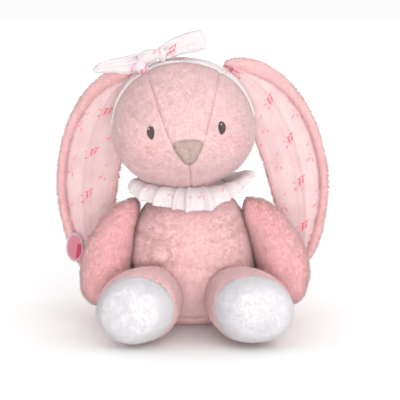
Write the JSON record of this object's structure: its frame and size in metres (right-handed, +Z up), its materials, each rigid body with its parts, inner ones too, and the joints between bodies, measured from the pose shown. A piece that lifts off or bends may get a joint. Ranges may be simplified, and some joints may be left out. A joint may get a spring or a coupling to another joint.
{
  "type": "plush bunny",
  "caption": "Seated long-eared plush bunny with ruffle collar, headband and bow, jointed head, ears, arms and legs, and a press-button sound module in its belly.",
  "frame": {"origin": "middle of the flat base panel the toy sits on", "axes": "+Z up, the face looks along -Y, +X is the toy's left"},
  "size_m": [0.2574, 0.1963, 0.2661],
  "materials": {
    "pale_plush": "short pale pink plush, slightly mottled",
    "pink_plush": "short pink plush",
    "base_cloth": "short pink plush, denser, under the seat",
    "printed_muslin": "white crinkled muslin printed with small pink leaf sprigs",
    "white_pile": "long white plush",
    "nose_pile": "very short taupe pile",
    "eye_thread": "satin-stitched dark brown thread",
    "label_ribbon": "woven ribbon, plain oval",
    "fibre_fill": "loose polyester fibre",
    "lining_cotton": "plain cotton",
    "hook_and_loop": "woven hook-and-loop tape",
    "case_plastic": "moulded, fine texture",
    "button_plastic": "moulded, smooth",
    "board": "green solder mask",
    "switch_plastic": "moulded black",
    "steel": "bright",
    "magnet": "nickel plated",
    "cone_paper": "black pressed film"
  },
  "bodies": {
    "torso": {"torso_front_cover": "pale_plush", "torso_back_cover": "pale_plush", "base_panel": "base_cloth", "torso_stuffing": "fibre_fill", "pellet_bag": "lining_cotton", "ruffle_collar": "printed_muslin", "tail": "pale_plush", "loop_strip": "hook_and_loop", "module_pouch": "lining_cotton", "module_case_front": "case_plastic", "module_case_rear": "case_plastic", "circuit_board": "board", "push_switch": "switch_plastic", "button_spring": "steel", "speaker_frame": "steel", "speaker_cone": "cone_paper", "speaker_magnet": "magnet", "button_cell_1": "steel", "button_cell_2": "steel", "button_cell_3": "steel", "battery_flat_contact": "steel", "battery_spring_contact": "steel", "battery_door": "case_plastic", "battery_door_screw": "steel", "case_screw_1": "steel", "case_screw_2": "steel"},
    "press_button": {"press_button": "button_plastic"},
    "back_flap": {"back_flap": "pale_plush", "hook_strip": "hook_and_loop"},
    "neck": {"neck_core": "fibre_fill"},
    "head": {"head_centre_panel": "pale_plush", "head_left_panel": "pale_plush", "head_right_panel": "pale_plush", "head_stuffing": "fibre_fill", "eye_left": "eye_thread", "eye_right": "eye_thread", "nose": "nose_pile", "headband": "printed_muslin", "bow_knot": "printed_muslin", "bow_loop_left": "printed_muslin", "bow_loop_right": "printed_muslin"},
    "ear_left": {"ear_back_left": "pink_plush", "ear_lining_left": "printed_muslin"},
    "ear_right": {"ear_back_right": "pink_plush", "ear_lining_right": "printed_muslin", "ear_label": "label_ribbon"},
    "arm_left": {"arm_cover_left": "pink_plush", "arm_stuffing_left": "fibre_fill"},
    "arm_right": {"arm_cover_right": "pink_plush", "arm_stuffing_right": "fibre_fill"},
    "leg_left": {"leg_cover_left": "pink_plush", "foot_sole_left": "white_pile", "leg_stuffing_left": "fibre_fill"},
    "leg_right": {"leg_cover_right": "pink_plush", "foot_sole_right": "white_pile", "leg_stuffing_right": "fibre_fill"}
  },
  "joints": [
    {"name": "button_press", "type": "slide", "parent": "torso", "child": "press_button", "axis": [0, 1, 0], "range_m": [0, 0.0015], "stiffness_N_per_m": 600, "springref_m": -0.001, "deforming": ["button_spring"]},
    {"name": "flap_open", "type": "hinge", "parent": "torso", "child": "back_flap", "pos_m": [0, 0.0485, 0.0905], "axis": [1, 0, 0], "range_deg": [0, 80]},
    {"name": "head_turn", "type": "hinge", "parent": "torso", "child": "neck", "pos_m": [0, 0, 0.132], "axis": [0, 0, 1], "range_deg": [-10, 10]},
    {"name": "head_nod", "type": "hinge", "parent": "neck", "child": "head", "pos_m": [0, 0, 0.132], "axis": [1, 0, 0], "range_deg": [-4, 3]},
    {"name": "ear_left_lift", "type": "hinge", "parent": "head", "child": "ear_left", "pos_m": [0.03794, 0.012, 0.2325], "axis": [0, -1, 0], "range_deg": [0, 45]},
    {"name": "ear_right_lift", "type": "hinge", "parent": "head", "child": "ear_right", "pos_m": [-0.0499, 0.012, 0.22713], "axis": [0, 1, 0], "range_deg": [0, 45]},
    {"name": "arm_left_lift", "type": "hinge", "parent": "torso", "child": "arm_left", "pos_m": [0.05, 0, 0.101], "axis": [0, -1, 0], "range_deg": [0, 45]},
    {"name": "arm_right_lift", "type": "hinge", "parent": "torso", "child": "arm_right", "pos_m": [-0.05, 0, 0.101], "axis": [0, 1, 0], "range_deg": [0, 45]},
    {"name": "leg_left_lift", "type": "hinge", "parent": "torso", "child": "leg_left", "pos_m": [0, -0.043, 0.054], "axis": [-1, 0, 0], "range_deg": [0, 25]},
    {"name": "leg_right_lift", "type": "hinge", "parent": "torso", "child": "leg_right", "pos_m": [0, -0.043, 0.054], "axis": [-1, 0, 0], "range_deg": [0, 25]}
  ]
}
